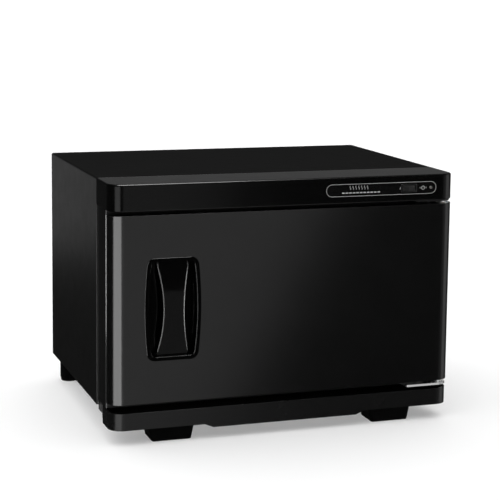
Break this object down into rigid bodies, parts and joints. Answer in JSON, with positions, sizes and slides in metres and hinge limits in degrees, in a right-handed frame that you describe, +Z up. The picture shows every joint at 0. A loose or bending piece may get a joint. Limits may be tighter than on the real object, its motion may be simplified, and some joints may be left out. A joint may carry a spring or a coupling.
{
  "type": "hot towel cabinet",
  "caption": "Black countertop hot towel cabinet with an insulated heated tank, side-hinged door with recessed barrel handle, top switch panel, drip tray and feet.",
  "frame": {"origin": "centre of the footprint on the surface that it stands on", "axes": "+Z up, -Y to the door, +X to the hinge side"},
  "size_m": [0.35, 0.274, 0.248],
  "materials": {
    "casing_paint": "satin",
    "door_paint": "satin",
    "bracket_paint": "satin",
    "black_screws": "satin",
    "zinc_steel": "satin",
    "bright_steel": "bright",
    "shelf_chrome": "polished",
    "tank_aluminium": "satin",
    "frame_plastic": "fine grain",
    "tray_plastic": "satin",
    "gloss_black": "gloss",
    "handle_black": "gloss",
    "grip_black": "gloss",
    "switch_black": "satin",
    "rocker_black": "satin",
    "label_film": "satin",
    "lamp_lens": "clear",
    "liner_plastic": "satin",
    "nylon": "moulded",
    "magnet_black": "moulded",
    "foot_rubber": "matt",
    "seal_rubber": "matt",
    "silicone_rubber": "matt",
    "lead_rubber": "matt",
    "glass_wool": "fibrous",
    "foam": "cellular",
    "brass_contacts": "plain"
  },
  "bodies": {
    "cabinet": {"outer_casing": "casing_paint", "rear_panel": "casing_paint", "base_plate": "zinc_steel", "front_frame": "frame_plastic", "control_housing": "gloss_black", "control_label": "label_film", "switch_housing": "switch_black", "switch_terminals": "brass_contacts", "indicator_lamp": "lamp_lens", "inner_tank": "tank_aluminium", "tank_insulation": "glass_wool", "heating_pad": "silicone_rubber", "thermostat": "zinc_steel", "thermal_cutout": "zinc_steel", "shelf_rail_left": "tank_aluminium", "shelf_rail_right": "tank_aluminium", "wire_shelf": "shelf_chrome", "cord_gland": "frame_plastic", "terminal_block": "nylon", "earth_stud": "brass_contacts", "internal_leads": "lead_rubber", "hinge_bracket_bottom": "bright_steel", "hinge_bracket_top": "bracket_paint", "hinge_pin_bottom": "bright_steel", "hinge_pin_top": "bright_steel", "strike_plate": "zinc_steel", "tray_guide_left": "frame_plastic", "tray_guide_right": "frame_plastic", "front_foot_left": "foot_rubber", "front_foot_right": "foot_rubber", "foot_bracket_left": "bracket_paint", "foot_bracket_right": "bracket_paint", "front_foot_screws": "zinc_steel", "bracket_screws": "zinc_steel", "rear_foot_left": "foot_rubber", "rear_foot_right": "foot_rubber", "rear_foot_screws": "zinc_steel", "rear_panel_screws": "black_screws", "hinge_screws": "zinc_steel"},
    "door": {"door_skin": "door_paint", "door_cap_bottom": "frame_plastic", "door_cap_top": "frame_plastic", "door_liner": "liner_plastic", "door_insulation": "foam", "door_gasket": "seal_rubber", "door_magnet": "magnet_black", "hinge_bush_bottom": "nylon", "hinge_bush_top": "nylon", "handle_cup": "handle_black", "handle_grip": "grip_black", "handle_screws": "zinc_steel"},
    "drip_tray": {"drip_tray": "tray_plastic"},
    "switch_rocker": {"switch_rocker": "rocker_black"}
  },
  "joints": [
    {"name": "door_hinge", "type": "hinge", "parent": "cabinet", "child": "door", "pos_m": [0.165, -0.1245, 0.128], "axis": [0, 0, 1], "range_deg": [0, 120]},
    {"name": "drip_tray_slide", "type": "slide", "parent": "cabinet", "child": "drip_tray", "axis": [0, -1, 0], "range_m": [0, 0.045]},
    {"name": "power_switch", "type": "hinge", "parent": "cabinet", "child": "switch_rocker", "pos_m": [0.1249, -0.13, 0.23525], "axis": [0, 0, 1], "range_deg": [0, 20]}
  ]
}
